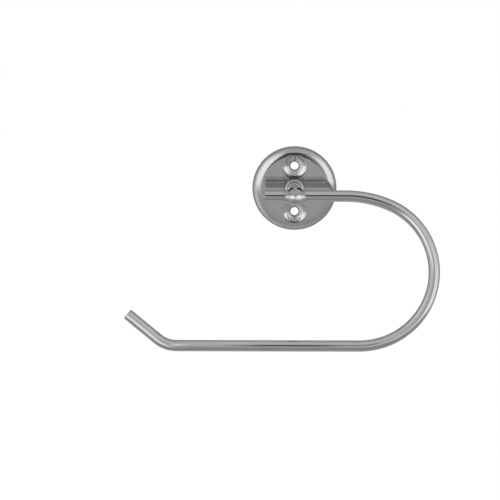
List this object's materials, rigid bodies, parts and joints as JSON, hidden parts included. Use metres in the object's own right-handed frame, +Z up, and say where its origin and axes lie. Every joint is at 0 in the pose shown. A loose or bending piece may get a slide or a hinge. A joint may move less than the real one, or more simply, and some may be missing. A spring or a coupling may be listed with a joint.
{
  "type": "toilet roll holder",
  "caption": "Wall-mounted toilet roll holder: round pressed rosette with screw holes, ball-headed post and a bent round bar looping back to an open, upturned end that carries the roll.",
  "frame": {"origin": "centre of the rosette on the wall plane, midway between the two screw holes", "axes": "+Z up, -Y out of the wall towards the user, +X to the user's right; the closed bend of the bar points to +X and the open end to -X"},
  "size_m": [0.1668, 0.0452, 0.106],
  "materials": {
    "plate_steel": "polished pressed steel",
    "post_steel": "polished turned steel",
    "bar_steel": "polished drawn steel bar"
  },
  "bodies": {
    "root": {"back_plate": "plate_steel", "ball_post": "post_steel", "roll_bar": "bar_steel"}
  },
  "joints": []
}
